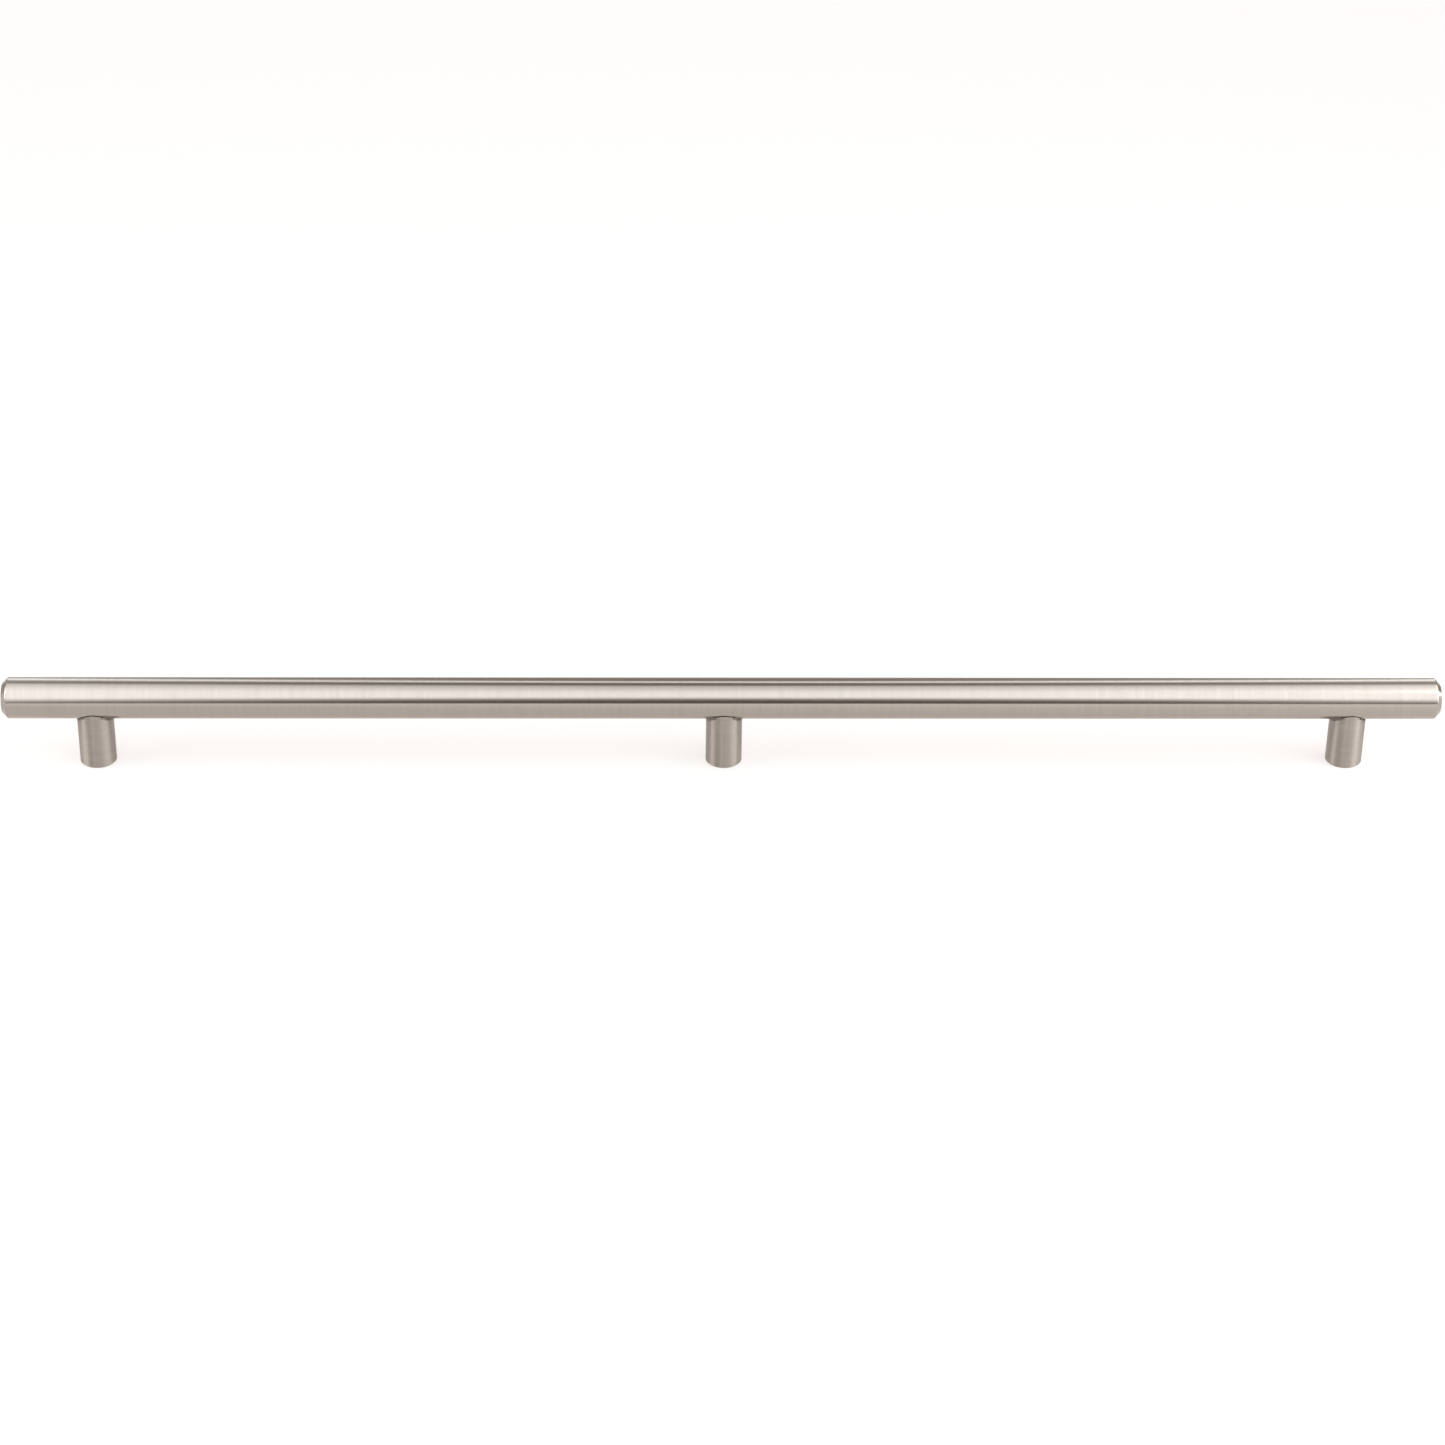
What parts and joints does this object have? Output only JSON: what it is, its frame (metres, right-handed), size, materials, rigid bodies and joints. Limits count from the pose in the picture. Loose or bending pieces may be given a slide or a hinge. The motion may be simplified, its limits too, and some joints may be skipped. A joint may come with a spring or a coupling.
{
  "type": "t bar cabinet pull",
  "caption": "Straight round bar pull with bevelled ends, carried on plain round posts with saddle-cut tops, screwed on from behind the door.",
  "frame": {"origin": "on the mounting face, under the middle post's axis", "axes": "+X along the bar, +Z away from the door, Y across the bar"},
  "size_m": [0.439, 0.0126, 0.0281],
  "materials": {
    "bar_steel": "satin stainless steel, brushed around the bar",
    "post_steel": "satin stainless steel, brushed around the post",
    "stud_steel": "plain steel screw, as rolled"
  },
  "bodies": {
    "root": {"pull_bar": "bar_steel", "post_left": "post_steel", "post_middle": "post_steel", "post_right": "post_steel", "stud_left": "stud_steel", "stud_middle": "stud_steel", "stud_right": "stud_steel"}
  },
  "joints": []
}
